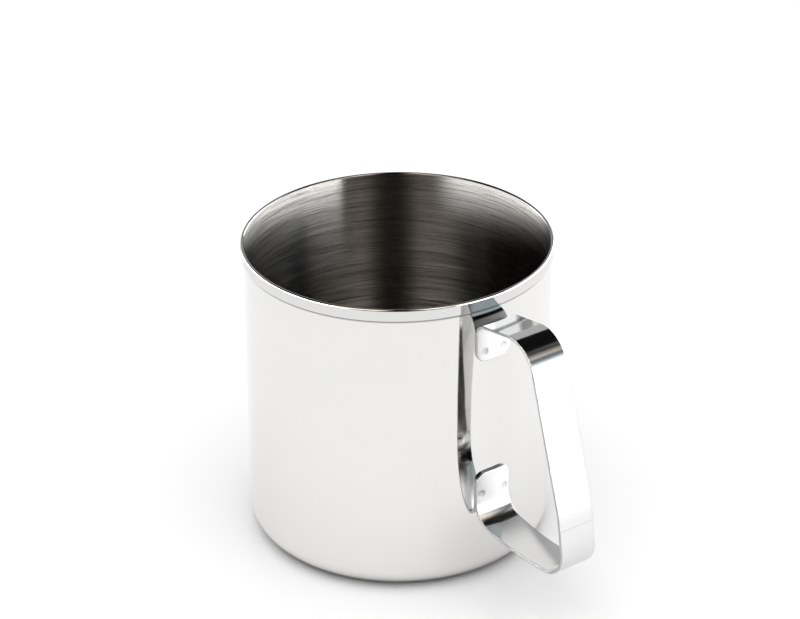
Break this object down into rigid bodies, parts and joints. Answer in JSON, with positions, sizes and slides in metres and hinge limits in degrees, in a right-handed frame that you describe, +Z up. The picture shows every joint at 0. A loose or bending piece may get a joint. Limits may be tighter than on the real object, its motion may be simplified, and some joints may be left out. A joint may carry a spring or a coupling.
{
  "type": "shaving mug",
  "caption": "Straight-sided stainless steel shaving mug with an outward-folded rim and a bent strap handle spot-welded to the wall.",
  "frame": {"origin": "centre of the base, in the plane the foot stands on", "axes": "+Z up along the cup's axis; +X from the axis towards the handle; +Y to the right for someone facing the handle"},
  "size_m": [0.1256, 0.0884, 0.09],
  "materials": {
    "cup_steel": "polished",
    "handle_steel": "polished",
    "weld_steel": "satin"
  },
  "bodies": {
    "root": {"cup_body": "cup_steel", "handle_strap": "handle_steel", "upper_weld_left": "weld_steel", "upper_weld_right": "weld_steel", "lower_weld_left": "weld_steel", "lower_weld_right": "weld_steel"}
  },
  "joints": []
}
